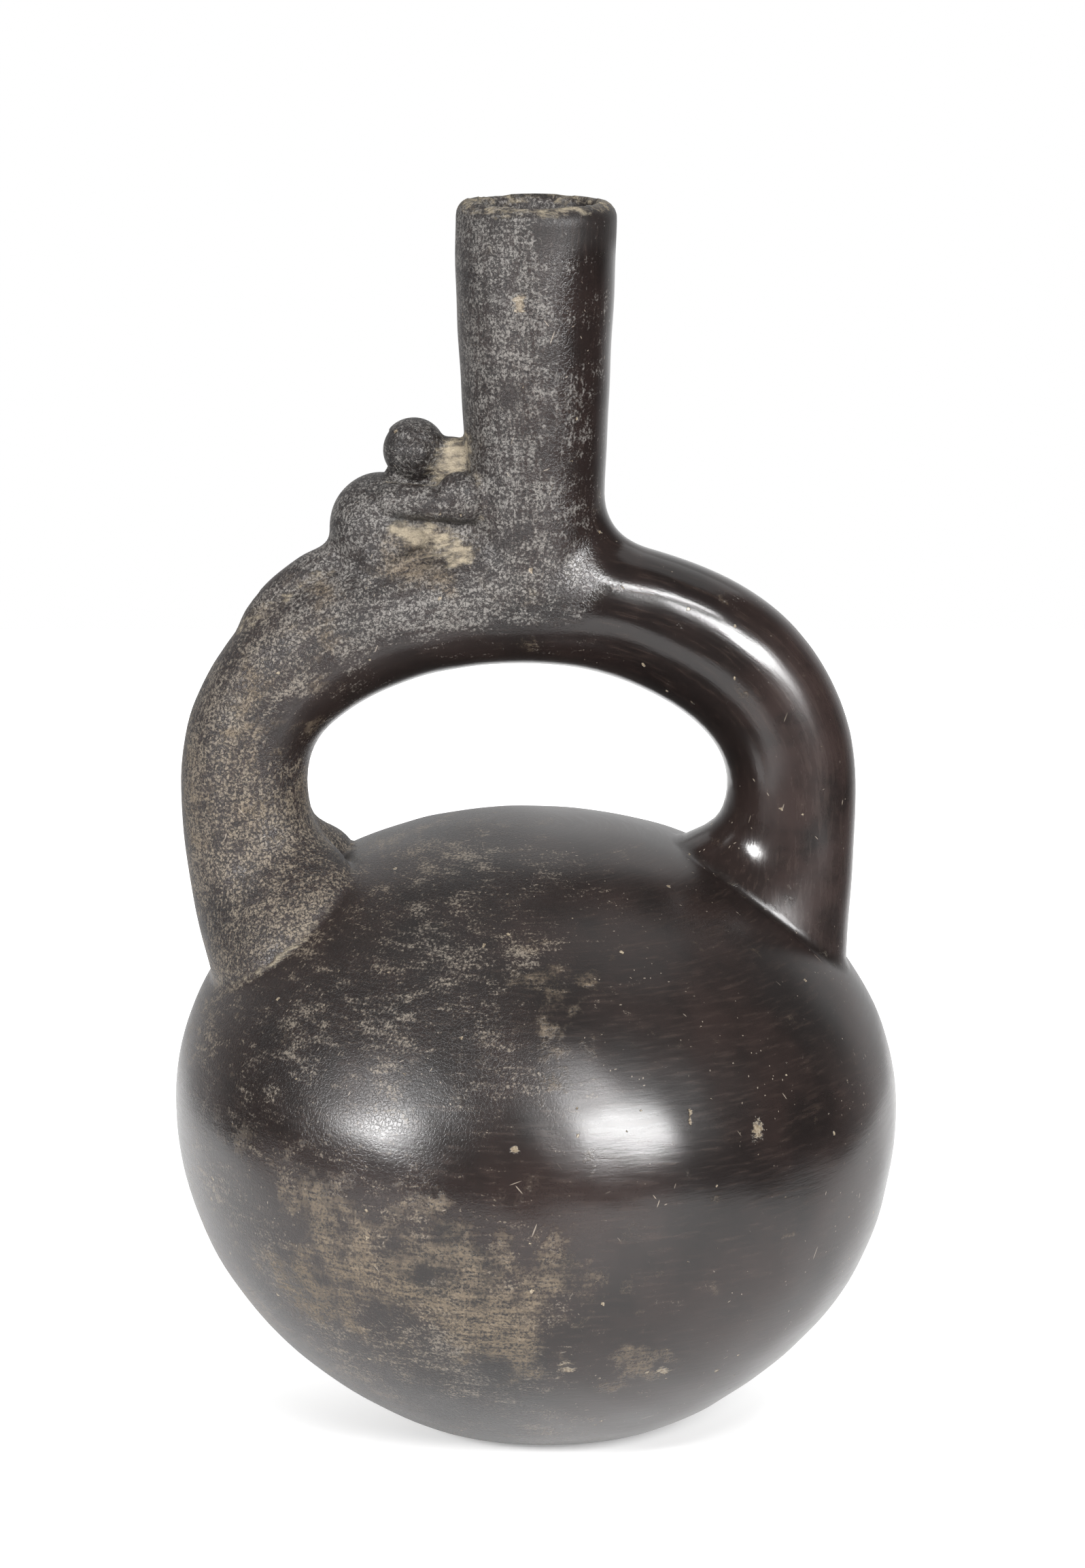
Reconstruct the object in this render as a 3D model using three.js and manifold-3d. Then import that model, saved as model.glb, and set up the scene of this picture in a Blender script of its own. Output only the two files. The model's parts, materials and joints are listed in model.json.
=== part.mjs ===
// A stirrup spout vessel of burnished blackware: a round chamber, a hollow arched handle planted on its
// shoulders, a spout rising from the crown of the arch and a small crouching monkey that grips the spout.
// It is one fired clay body, hollow right through, with the spout's mouth as its only opening.
// Units are millimetres, +Z up. The origin is on the ground under the middle of the vessel's outline,
// X runs along the arch (the monkey on the -X side) and the monkey's left flank faces -Y.
import * as THREE from "three";
import { ParametricGeometry } from "three/addons/geometries/ParametricGeometry.js";
import { mergeVertices } from "three/addons/utils/BufferGeometryUtils.js";
import Module from "manifold-3d";

// Chamber: two half ellipsoids that meet at the girth, on a flat spot. It leans a little, so that its top
// sits further to -X than its foot.
const GIRTH_RADIUS = 64.2;
const GIRTH_Z = 58.8;
const DOME_RISE = 50.5;
const FLAT_RADIUS = 20;
const BOWL_DEPTH = GIRTH_Z / Math.sqrt(1 - (FLAT_RADIUS / GIRTH_RADIUS) ** 2);
const LEAN = 0.03;
const CHAMBER_WALL = 5;

// Arched handle: half a squared ellipse above the springing, and a steeper ellipse for each leg below it.
const ARCH_X = -3.2;
const SPRING_Z = 115.2;
const HALF_SPAN = 48.1;
const ARCH_RISE = 33.8;
const ARCH_SQUARENESS = 2.22;
const LEG_DROP = { left: 73, right: 100 };
const LEG_END_Z = 78;
const TUBE_RADIUS = 11.2;
const CROWN_SWELL = 0.4;
const SHOULDER_SWELL = 0.6;
const CHANNEL_RADIUS = 7.4;

// Collar of clay that spreads the inner side of each leg where it is luted to the chamber.
const COLLAR = { left: 10.5, right: 7.5 };
const COLLAR_REACH = 5.5;
const COLLAR_FADE = 2.3;

// Spout, standing on the crown of the arch, and the web of clay that carries its sides along the crown.
const SPOUT_X = -0.1;
const SPOUT_LEAN = -0.008;
const SPOUT_FOOT_Z = 149;
const SPOUT_FOOT_RADIUS = 10.6;
const RIM_Z = 219.5;
const WAIST_Z = 158;
const SPOUT_WAIST_RADIUS = 12;
const SPOUT_TOP_RADIUS = 13.9;
const LIP_ROUND = 2.6;
const BORE_RADIUS = { foot: 8, mouth: 10.6 };
const WEB_REACH = 9;

// Tail of the monkey, a ridge that runs down the outer side of the arch between two angles, in degrees.
const TAIL_SPAN = [118, 156];
const TAIL_RADIUS = 6.8;
const TAIL_STAND = 9;
const TAIL_SINK = 3.5;

const WELD = 1e-3;

const wasm = await Module();
wasm.setup();

// A closed three.js geometry as a solid that can be joined and cut.
function solidOf(geometry) {
  const bare = new THREE.BufferGeometry();
  bare.setAttribute("position", geometry.getAttribute("position"));
  bare.setIndex(geometry.index);
  const merged = mergeVertices(bare, WELD);
  return new wasm.Manifold(
    new wasm.Mesh({
      numProp: 3,
      vertProperties: merged.attributes.position.array,
      triVerts: new Uint32Array(merged.index.array),
    }),
  );
}

function geometryOf(solid) {
  const mesh = solid.getMesh();
  const geometry = new THREE.BufferGeometry();
  geometry.setAttribute("position", new THREE.BufferAttribute(mesh.vertProperties, 3));
  geometry.setIndex(new THREE.BufferAttribute(mesh.triVerts, 1));
  geometry.computeVertexNormals();
  return geometry;
}

function join(pieces) {
  return pieces.reduce((whole, piece) => whole.add(piece));
}

// A profile of (radius, height) points, from the axis back to the axis, turned about Z. The axis then
// leans by `lean` for each unit of height above `level`.
function turned(profile, sides, { x = 0, lean = 0, level = 0 } = {}) {
  const points = profile.map(([radius, z]) => new THREE.Vector2(radius, z));
  const lathe = new THREE.LatheGeometry(points, sides).rotateX(Math.PI / 2);
  const shear = new THREE.Matrix4().makeShear(0, 0, 0, 0, lean, 0);
  return solidOf(lathe.applyMatrix4(shear).translate(x - lean * level, 0, 0));
}

// Points of an ellipse about the axis, as (radius, height), from the angle `from` to the angle `to`.
function ellipseArc(radius, rise, centreZ, from, to, steps) {
  return Array.from({ length: steps + 1 }, (_, i) => {
    const angle = from + ((to - from) * i) / steps;
    return [radius * Math.cos(angle), centreZ + rise * Math.sin(angle)];
  });
}

// The chamber's outline drawn in by `inset`: 0 for its outside, and the wall for its cavity.
function chamber(inset, sides, steps) {
  const radius = GIRTH_RADIUS - inset;
  const bowl = BOWL_DEPTH - inset;
  const flat = -Math.asin((GIRTH_Z - inset) / bowl);
  const profile = [
    [0, inset],
    ...ellipseArc(radius, bowl, GIRTH_Z, flat, 0, steps),
    ...ellipseArc(radius, DOME_RISE - inset, GIRTH_Z, 0, Math.PI / 2, steps).slice(1, -1),
    [0, GIRTH_Z + DOME_RISE - inset],
  ];
  return turned(profile, sides, { lean: -LEAN, level: GIRTH_Z });
}

// How far a point stands off the dome, near enough for points that are close to it.
function heightOffDome(point) {
  const axes = new THREE.Vector3(GIRTH_RADIUS, GIRTH_RADIUS, DOME_RISE);
  const above = point.z - GIRTH_Z;
  const scaled = new THREE.Vector3(point.x + LEAN * above, point.y, above).divide(axes);
  const reach = scaled.length();
  return (reach * (reach - 1)) / scaled.divide(axes).length();
}

// A cosine or sine raised so that it draws a squared ellipse instead of a round one.
function squared(value) {
  return Math.sign(value) * Math.abs(value) ** (2 / ARCH_SQUARENESS);
}

// The arch's centre line, by an angle that is 0 at the right springing and half a turn at the left one.
function archPoint(angle) {
  const cos = Math.cos(angle);
  const sin = Math.sin(angle);
  if (sin >= 0) {
    return new THREE.Vector3(ARCH_X + HALF_SPAN * squared(cos), 0, SPRING_Z + ARCH_RISE * squared(sin));
  }
  const drop = cos < 0 ? LEG_DROP.left : LEG_DROP.right;
  return new THREE.Vector3(ARCH_X + HALF_SPAN * cos, 0, SPRING_Z + drop * sin);
}

// The direction that points out of the arch's curve, in its own plane.
function archOutward(angle) {
  const step = 1e-3;
  const along = archPoint(angle + step).sub(archPoint(angle - step));
  return new THREE.Vector3(along.z, 0, -along.x).normalize();
}

// The clay thickens over the crown of the arch and most over its two shoulders.
function tubeRadius(angle) {
  const rise = Math.max(Math.sin(angle), 0);
  return TUBE_RADIUS + CROWN_SWELL * rise + SHOULDER_SWELL * (2 * rise * Math.cos(angle)) ** 2;
}

// How far a leg's collar stands out at a point of its surface: it fades with height off the dome, and it
// is whole on the inner side of the leg and nothing on the outer side.
function collarAt(point, turn) {
  const near = 1 / (1 + Math.exp((heightOffDome(point) - COLLAR_REACH) / COLLAR_FADE));
  const most = point.x < ARCH_X ? COLLAR.left : COLLAR.right;
  return most * near * Math.sin(turn / 2);
}

// A roll of clay that follows the arch from one angle to another and is closed at both ends. `standAt` is
// how far its middle lies outside the arch's centre line, and `collar` spreads its surface.
function alongArch([from, to], { radiusAt, standAt = () => 0, collar = () => 0 }, steps, sides) {
  const place = (around, along, target) => {
    const ring = Math.round(along * (steps + 2)) - 1;
    const angle = from + ((to - from) * THREE.MathUtils.clamp(ring, 0, steps)) / steps;
    const outward = archOutward(angle);
    target.copy(archPoint(angle)).addScaledVector(outward, standAt(angle));
    if (ring < 0 || ring > steps) return;
    const turn = 2 * Math.PI * around;
    const side = outward.multiplyScalar(Math.cos(turn)).setY(Math.sin(turn));
    target.addScaledVector(side, radiusAt(angle));
    target.addScaledVector(side, collar(target, turn));
  };
  return solidOf(new ParametricGeometry(place, sides, steps + 2));
}

// The angles at which the two legs end inside the chamber.
const LEG_ENDS = [
  -Math.asin((SPRING_Z - LEG_END_Z) / LEG_DROP.right),
  Math.PI + Math.asin((SPRING_Z - LEG_END_Z) / LEG_DROP.left),
];

// The height of the crown's upper surface, at a place across the tube.
function crownZ(x, y) {
  const share = (x - ARCH_X) / HALF_SPAN;
  const centre = SPRING_Z + ARCH_RISE * (1 - Math.abs(share) ** ARCH_SQUARENESS) ** (1 / ARCH_SQUARENESS);
  return centre + Math.sqrt(Math.max((TUBE_RADIUS + CROWN_SWELL) ** 2 - y ** 2, 0));
}

// The spout's outside: a slight waist above the arch, widening to the mouth, with a rounded lip.
function spoutRadius(z) {
  const share = THREE.MathUtils.smoothstep(z, WAIST_Z, RIM_Z - 10);
  return SPOUT_WAIST_RADIUS + (SPOUT_TOP_RADIUS - SPOUT_WAIST_RADIUS) * share;
}

function spout(sides) {
  const steps = 7;
  const lipZ = RIM_Z - LIP_ROUND;
  const side = Array.from({ length: steps + 1 }, (_, i) => {
    const z = WAIST_Z + ((lipZ - WAIST_Z) * i) / steps;
    return [spoutRadius(z), z];
  });
  const lip = ellipseArc(LIP_ROUND, LIP_ROUND, lipZ, Math.PI / 6, Math.PI / 2, 2).map(
    ([radius, z]) => [SPOUT_TOP_RADIUS - LIP_ROUND + radius, z],
  );
  const foot = [[0, SPOUT_FOOT_Z], [SPOUT_FOOT_RADIUS, SPOUT_FOOT_Z]];
  const profile = [...foot, ...side, ...lip, [0, RIM_Z]];
  return turned(profile, sides, { x: SPOUT_X, lean: SPOUT_LEAN, level: SPOUT_FOOT_Z });
}

// The web runs from the spout's side down to the crown in a hollow quarter circle, out along X only, and
// dies away at the spout's front and back, where the spout is as wide as the tube.
function web(sides, steps) {
  const place = (around, along, target) => {
    const turn = 2 * Math.PI * around;
    const ring = Math.round(along * (steps + 3)) - 1;
    const x = SPOUT_WAIST_RADIUS * Math.cos(turn);
    const y = TUBE_RADIUS * Math.sin(turn);
    const reach = WEB_REACH * Math.sqrt(Math.abs(Math.cos(turn)));
    const tilt = ((Math.PI / 2) * THREE.MathUtils.clamp(ring - 1, 0, steps)) / steps;
    const out = x + Math.sign(x) * reach * (1 - Math.sin(tilt));
    const foot = crownZ(x + Math.sign(x) * reach, y) - 0.4;
    const z = ring < 1 ? SPOUT_FOOT_Z : foot + reach * (1 - Math.cos(tilt));
    target.set(SPOUT_X + out, y, z);
    if (ring < 0) target.set(SPOUT_X, 0, SPOUT_FOOT_Z);
    if (ring > steps + 1) target.set(SPOUT_X, 0, WAIST_Z + WEB_REACH);
  };
  return solidOf(new ParametricGeometry(place, sides, steps + 3));
}

function bore(sides) {
  const foot = SPRING_Z + ARCH_RISE;
  const top = RIM_Z + 5;
  const { foot: narrow, mouth } = BORE_RADIUS;
  const profile = [[0, foot], [narrow, foot], [mouth, RIM_Z - 12], [mouth, top], [0, top]];
  return turned(profile, sides, { x: SPOUT_X, lean: SPOUT_LEAN, level: SPOUT_FOOT_Z });
}

// An egg of clay, leaning by `tilt` degrees in the plane of the arch.
function lump({ at, size, tilt = 0, sides = 16 }) {
  const ball = new THREE.SphereGeometry(1, sides, sides * 0.625).rotateX(Math.PI / 2).scale(...size);
  return solidOf(ball.rotateY(THREE.MathUtils.degToRad(tilt)).translate(...at));
}

// A roll of clay from one point to another, with round ends.
function roll({ from, to, radius }) {
  const start = new THREE.Vector3(...from);
  const end = new THREE.Vector3(...to);
  const along = end.clone().sub(start);
  const capsule = new THREE.CapsuleGeometry(radius, along.length(), 4, 12);
  const up = new THREE.Vector3(0, 1, 0);
  const turn = new THREE.Quaternion().setFromUnitVectors(up, along.clone().normalize());
  return solidOf(capsule.applyQuaternion(turn).translate(...start.add(end).multiplyScalar(0.5)));
}

function tail(steps, sides) {
  const span = TAIL_SPAN.map(THREE.MathUtils.degToRad);
  const share = (angle) => (angle - span[0]) / (span[1] - span[0]);
  const radiusAt = (angle) => TAIL_RADIUS * (1 - 0.8 * Math.abs(2 * share(angle) - 1) ** 5);
  const standAt = (angle) => TAIL_STAND - TAIL_SINK * share(angle) ** 2;
  return alongArch(span, { radiusAt, standAt }, steps, sides);
}

// The monkey crouches on the arch's shoulder with its belly, arms and feet against the spout.
function monkey() {
  const torso = [
    lump({ at: [-27.3, 0, 162], size: [9.6, 9, 9], tilt: -30 }),
    lump({ at: [-17, 0, 163.5], size: [9, 8, 7.5] }),
    tail(10, 12),
  ];
  const head = [
    lump({ at: [-21.6, 0, 175.6], size: [5.7, 5.6, 5.6] }),
    lump({ at: [-16, 0, 173], size: [5, 3, 4.6], sides: 12 }),
    lump({ at: [-24, 0, 170], size: [4.6, 5, 4], sides: 12 }),
  ];
  const limbs = [-1, 1].flatMap((side) => [
    roll({ from: [-25.5, 6 * side, 167], to: [-12, 7.8 * side, 165.8], radius: 3.9 }),
    roll({ from: [-26, 6.2 * side, 160], to: [-14, 7.6 * side, 159.3], radius: 3.4 }),
    lump({ at: [-23.2, 4.6 * side, 173.6], size: [2, 1.4, 2], sides: 10 }),
  ]);
  return join([...torso, ...head, ...limbs]);
}

function vessel() {
  const clay = join([
    chamber(0, 52, 9),
    alongArch(LEG_ENDS, { radiusAt: tubeRadius, collar: collarAt }, 38, 20),
    spout(28),
    web(28, 4),
    monkey(),
  ]);
  const hollow = join([
    chamber(CHAMBER_WALL, 32, 6),
    alongArch(LEG_ENDS, { radiusAt: () => CHANNEL_RADIUS }, 24, 12),
    bore(20),
  ]);
  return clay.subtract(hollow);
}

const blackware = new THREE.MeshStandardMaterial({ color: 0x2b2724, roughness: 0.4, metalness: 0 });
const body = new THREE.Mesh(geometryOf(vessel()), blackware);
body.name = "vessel";

const part = new THREE.Group();
part.add(body);

export default part;
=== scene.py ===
# %% [markdown]
# # A stirrup spout vessel in burnished blackware
#
# The object is one body of fired clay: a round chamber, a hollow arched handle, a spout on the crown of
# the arch and a small monkey that grips the spout. The potter made them apart and luted them together
# while the clay was wet, so the joins are soft and there is no edge where one part stops.
#
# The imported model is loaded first. It fixes the size of everything: the new surface is worked out in
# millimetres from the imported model's box, and turned into metres when it becomes a mesh.

import json
import math

import bmesh
import bpy
import numpy as np
import openvdb
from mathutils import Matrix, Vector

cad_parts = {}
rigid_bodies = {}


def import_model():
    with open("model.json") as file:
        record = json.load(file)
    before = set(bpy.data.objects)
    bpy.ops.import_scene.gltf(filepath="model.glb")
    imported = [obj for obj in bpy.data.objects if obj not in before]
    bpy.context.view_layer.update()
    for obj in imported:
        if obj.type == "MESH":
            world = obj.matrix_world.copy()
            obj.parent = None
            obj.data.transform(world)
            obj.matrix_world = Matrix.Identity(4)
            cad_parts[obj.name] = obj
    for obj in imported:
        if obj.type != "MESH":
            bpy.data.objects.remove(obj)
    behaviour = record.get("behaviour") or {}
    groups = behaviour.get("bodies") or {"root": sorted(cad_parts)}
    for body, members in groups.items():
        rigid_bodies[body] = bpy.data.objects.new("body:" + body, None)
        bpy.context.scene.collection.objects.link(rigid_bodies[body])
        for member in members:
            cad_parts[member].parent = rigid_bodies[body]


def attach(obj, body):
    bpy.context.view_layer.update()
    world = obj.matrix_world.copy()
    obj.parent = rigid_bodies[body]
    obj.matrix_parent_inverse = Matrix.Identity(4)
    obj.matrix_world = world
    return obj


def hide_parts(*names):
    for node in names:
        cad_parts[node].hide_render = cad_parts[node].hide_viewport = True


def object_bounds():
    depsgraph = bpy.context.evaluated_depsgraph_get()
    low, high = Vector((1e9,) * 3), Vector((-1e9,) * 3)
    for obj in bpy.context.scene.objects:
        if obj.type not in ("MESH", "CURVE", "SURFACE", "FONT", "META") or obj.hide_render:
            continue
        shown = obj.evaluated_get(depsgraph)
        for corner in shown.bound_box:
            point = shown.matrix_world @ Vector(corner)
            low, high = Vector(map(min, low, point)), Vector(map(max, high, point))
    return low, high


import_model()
cad_box = [list(corner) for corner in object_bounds()]

MM = 0.001
low, high = np.array(cad_box) / MM
GIRTH_RADIUS = (high[0] - low[0]) / 2
RIM_Z = high[2]
print(f"girth radius {GIRTH_RADIUS:.1f} mm, rim {RIM_Z:.1f} mm above the ground")

# %% [markdown]
# ## The shape as a distance
#
# A body that branches can't be one sheet of two parameters. It could be several closed pieces joined by
# booleans, but that leaves hard edges where the clay was smeared together by hand. Here each part is a
# function that says how far a point lies from its surface, negative inside. Two parts are then luted
# together by a soft minimum, whose width is the width of the smeared clay, and the hollow is cut by a
# soft maximum. The functions work on whole arrays of points at once.

# %% Soft joins
def soft_min(a, b, width):
    """The smaller of two distances, rounded over where they are less than `width` apart:
    min(a, b) minus the square of the overlap, over four widths."""
    overlap = np.maximum(width - np.abs(a - b), 0)
    return np.minimum(a, b) - overlap**2 / (4 * width)


def soft_max(a, b, width):
    """The larger of two distances, rounded over in the same way."""
    return -soft_min(-a, -b, width)


def smoothstep(start, end, value):
    """Zero before `start`, one past `end`, and the curve 3t^2 - 2t^3 between them, in either order."""
    t = np.clip((value - start) / (end - start), 0, 1)
    return t * t * (3 - 2 * t)


def bell(value, width):
    """One at zero, falling off as the bell curve exp(-(value / width)^2)."""
    return np.exp(-((value / width) ** 2))


# %% [markdown]
# ## Chamber
#
# The chamber is nearly a ball below the girth and flatter above it. It leans a little, so its crown sits
# to the monkey's side of its foot, and its girth dips a few millimetres towards the front. It stands on a
# flat spot about 40 mm across. A lathe's profile would give a true round, but neither a lean nor a dip, so
# the chamber is two half eggs that meet at the girth, each a formula of the radius and the height.

# %% Chamber
GIRTH_Z = 58.8
DOME_RISE = 50.5
FLAT_RADIUS = 20
BOWL_POWER = 1.96
BOWL_DEPTH = GIRTH_Z / (1 - (FLAT_RADIUS / GIRTH_RADIUS) ** BOWL_POWER) ** (1 / BOWL_POWER)
LEAN = 0.03
NOD = 0.08
NOD_HEIGHT = 40
CHAMBER_WALL = 5


def above_girth(y, z):
    """Height above the girth, which dips towards -Y by a share of y. The share fades out on the ground."""
    return z - GIRTH_Z - NOD * y * smoothstep(0, NOD_HEIGHT, z)


def chamber(x, y, z):
    """Distance to two half eggs that meet at the girth, cut off flat at the ground. Each is
    k^n = (r / girth)^n + (height / rise)^n = 1, where n is 2 above the girth and a little less below,
    which straightens the bowl. The distance is k (k - 1) / g, where g is the slope of k when n is 2."""
    up = above_girth(y, z)
    r = np.hypot(x + LEAN * up, y)
    rise = np.where(up > 0, DOME_RISE, BOWL_DEPTH)
    power = np.where(up > 0, 2, BOWL_POWER)
    k = ((r / GIRTH_RADIUS) ** power + (np.abs(up) / rise) ** power) ** (1 / power)
    slope = np.sqrt(r**2 / GIRTH_RADIUS**4 + up**2 / rise**4) + 1e-9
    return soft_max(k * (k - 1) / slope, -z, 1.5)


# %% [markdown]
# ## Arched handle
#
# The handle is a tube about a curve in the plane of the monkey and the spout: half a slightly squared
# ellipse above the springing, and a steeper ellipse down each leg. The curve is sampled once. For any
# point the nearest sample is found, and a parabola through that sample and its neighbours gives the
# nearest place on the curve between them, so the tube has no facets.

# %% Curve of the arch
ARCH_X = -3.2
SPRING_Z = 115.2
HALF_SPAN = {"left": 48.3, "right": 48.5}
ARCH_RISE = 33.8
SQUARENESS = {"left": 2.22, "right": 2.12}
LEG_DROP = {"left": 68, "right": 118}
LEG_END_Z = 78
CROWN_Z = SPRING_Z + ARCH_RISE


def arch_curve(spacing=1.0):
    """Samples of the arch at even spacing, as arrays of x, z and angle. The angle is 0 at the right
    springing and half a turn at the left one. Above the springing the curve is
    |x|^n + |z|^n = 1 in units of the half span and the rise, and below it n is 2."""
    start = -math.asin((SPRING_Z - LEG_END_Z) / LEG_DROP["right"])
    end = math.pi + math.asin((SPRING_Z - LEG_END_Z) / LEG_DROP["left"])
    angle = np.linspace(start, end, 40001)
    cos, sin = np.cos(angle), np.sin(angle)
    span, squareness, drop = (
        np.where(cos < 0, value["left"], value["right"]) for value in (HALF_SPAN, SQUARENESS, LEG_DROP)
    )
    power = np.where(sin > 0, 2 / squareness, 1)
    x = ARCH_X + span * np.sign(cos) * np.abs(cos) ** power
    z = SPRING_Z + np.where(sin > 0, ARCH_RISE, drop) * np.sign(sin) * np.abs(sin) ** power
    length = np.concatenate([[0], np.cumsum(np.hypot(np.diff(x), np.diff(z)))])
    even = np.arange(0, length[-1], spacing)
    return [np.interp(even, length, row) for row in (x, z, angle)]


curve_x, curve_z, curve_angle = arch_curve()
tangent = np.stack([np.gradient(curve_x), np.gradient(curve_z)])
curve_out = np.stack([tangent[1], -tangent[0]]) / np.hypot(*tangent)
print(f"arch centre line {len(curve_x)} mm long, crown at {curve_z.max():.1f} mm")


# %% Nearest place on the arch
def nearest_on_arch(x, z):
    """For points in the plane of the arch: the place along the curve in millimetres, the distance to
    the curve in that plane, and the same distance signed, positive outside the curve."""
    shape = np.broadcast(x, z).shape
    px = np.broadcast_to(x, shape).ravel()
    pz = np.broadcast_to(z, shape).ravel()
    place, gap, side = np.empty((3, px.size))
    for part in np.array_split(np.arange(px.size), px.size // 20000 + 1):
        square = (px[part, None] - curve_x) ** 2 + (pz[part, None] - curve_z) ** 2
        middle = np.clip(square.argmin(1), 1, len(curve_x) - 2)
        row = np.arange(len(part))
        before, here, after = (square[row, middle + step] for step in (-1, 0, 1))
        bend = np.maximum(before - 2 * here + after, 1e-9)
        shift = np.clip((before - after) / (2 * bend), -1, 1)
        place[part] = middle + shift
        gap[part] = np.sqrt(np.maximum(here - (before - after) * shift / 4, 0))
        rows = (curve_x, curve_z, *curve_out)
        near_x, near_z, out_x, out_z = (np.interp(place[part], np.arange(len(curve_x)), row) for row in rows)
        side[part] = (px[part] - near_x) * out_x + (pz[part] - near_z) * out_z
    return [column.reshape(shape) for column in (place, gap, side)]


# %% [markdown]
# The tube's clay thickens a little over the crown and the shoulders. At the foot of each leg the potter
# pressed a collar of clay against the chamber: it is widest where the leg meets the dome and fades with
# height off it. On the left foot it spreads to the front and back, most a little inwards of them. On the
# right foot it is a low skirt with a flange on the inner side. A separate ring of clay would leave a seam
# on the leg, so the collar only widens the tube, by a formula of the turn about the leg, which goes from
# nothing on the outer side to half a turn on the inner side.

# %% Tube and collars
TUBE_RADIUS = 11.2
CROWN_SWELL = 0.4
SHOULDER_SWELL = 0.6
CHANNEL_RADIUS = 7.4
COLLAR = 14.5
COLLAR_TURN = 0.8
COLLAR_POWER = 2.5
SKIRT = 3.6
FLANGE = 8.0
FLANGE_TURN = 0.92
ARCH_ROLL = 0.16
ROLL_X = 14
COLLAR_REACH = {"left": 5.5, "right": 2.6}
COLLAR_FADE = {"left": 2.3, "right": 2.6}


def collar_width(x, turn):
    """On the left a power of the sine of most of the turn. On the right the skirt times the square of
    sin(turn / 2), and the flange times a bell about half a turn."""
    left = COLLAR * np.maximum(np.sin(COLLAR_TURN * turn), 0) ** COLLAR_POWER
    right = SKIRT * np.sin(turn / 2) ** 2 + FLANGE * bell(math.pi - turn, FLANGE_TURN)
    return np.where(x < ARCH_X, left, right)


def tube(x, y, place, gap, side, off_dome):
    """Distance from the arch's centre line, less the tube's radius and its collar. `gap` and `side` are
    the distances in the plane of the arch, so the whole distance is the root of gap^2 + y^2. The section
    of the right half is a little oval: each point is slid outwards by a share of y. The collar fades with
    the distance off the dome as 1 / (1 + e^t)."""
    angle = np.interp(place, np.arange(len(curve_angle)), curve_angle)
    rise = np.maximum(np.sin(angle), 0)
    radius = TUBE_RADIUS + CROWN_SWELL * rise + SHOULDER_SWELL * (2 * rise * np.cos(angle)) ** 2
    slid = side + ARCH_ROLL * y * smoothstep(0, ROLL_X, x)
    far = np.sqrt(np.maximum(gap**2 - side**2, 0) + slid**2 + y**2)
    turn = np.arccos(np.clip(side / (far + 1e-6), -1, 1))
    reach = np.where(x < ARCH_X, COLLAR_REACH["left"], COLLAR_REACH["right"])
    fade = np.where(x < ARCH_X, COLLAR_FADE["left"], COLLAR_FADE["right"])
    near = 1 / (1 + np.exp(np.clip((off_dome - reach) / fade, -30, 30)))
    return far - radius - near * collar_width(x, turn)


# %% [markdown]
# ## Spout
#
# The spout is a round, slightly waisted pipe. Its lip is rounded over outside and worn uneven: the rim's
# height wanders, with a few shallow chips. A ring cut with a boolean would have a sharp edge, so the rim is
# a height that depends on the direction. Where the spout stands on the crown the clay is smeared out along
# the tube, but at its front and back it is flush with the tube, so the soft join is wide along X and narrow
# along Y.

# %% Spout
SPOUT_X = -0.1
SPOUT_LEAN = 0.001
SPOUT_FOOT_Z = 149
WAIST_Z = 158
WAIST_RADIUS = 12
TOP_RADIUS = 13.9
LIP_ROUND = 3
BORE_FOOT_RADIUS = 8
MOUTH_RADIUS = 10.6
WEB = {"side": 8.5, "front": 1.0}
RIM_CHIPS = [(-1.9, 0.5, 0.6), (-1.2, 0.25, 0.35), (-0.55, 0.4, 0.5), (0.4, 0.6, 0.3), (2.3, 0.7, 0.5)]


def spout_axis(x, y, z):
    """Distance from the leaning axis, and the direction about it as an angle from +X."""
    across = x - SPOUT_X - SPOUT_LEAN * (z - SPOUT_FOOT_Z)
    return np.hypot(across, y), np.arctan2(y, across)


def rim_height(turn):
    """The rim's height by direction: two slow waves, less a bell-shaped dip for each chip, which is
    given by its direction, half width and depth."""
    height = RIM_Z + 0.15 - 0.3 * np.cos(turn) + 0.12 * np.cos(3 * turn + 0.6)
    for middle, width, depth in RIM_CHIPS:
        away = np.angle(np.exp(1j * (turn - middle)))
        height = height - depth * np.exp(-((away / width) ** 2))
    return height


def spout(x, y, z):
    """Distance to a pipe whose radius eases from the waist to the mouth, with a rounded upper edge: the
    length of the part of (r, z) that lies outside a core drawn in by the rounding, less the rounding."""
    r, turn = spout_axis(x, y, z)
    radius = WAIST_RADIUS + (TOP_RADIUS - WAIST_RADIUS) * smoothstep(WAIST_Z, RIM_Z - 10, z)
    out = r - (radius - LIP_ROUND)
    up = z - (rim_height(turn) - LIP_ROUND)
    edge = np.hypot(np.maximum(out, 0), np.maximum(up, 0)) + np.minimum(np.maximum(out, up), 0)
    return soft_max(edge - LIP_ROUND, SPOUT_FOOT_Z - z, 4)


def bore(x, y, z):
    """Distance to the spout's bore, a slightly widening pipe that is open at the top."""
    r, _ = spout_axis(x, y, z)
    share = np.clip((z - SPOUT_FOOT_Z) / (RIM_Z - 12 - SPOUT_FOOT_Z), 0, 1)
    radius = BORE_FOOT_RADIUS + (MOUTH_RADIUS - BORE_FOOT_RADIUS) * share
    return np.maximum(r - radius, CROWN_Z - z)


# %% [markdown]
# ## Monkey
#
# The monkey is a few lumps and rolls of clay, pressed together and worn smooth by handling: a hunched
# back, a round head, arms and legs that reach to the spout, and a tail that runs down the outer side of
# the arch. It could be sculpted by hand, but eggs and rolls with soft joins are how the potter built it.
# Both flanks are alike, so the limbs are measured with the absolute value of y.

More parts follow.
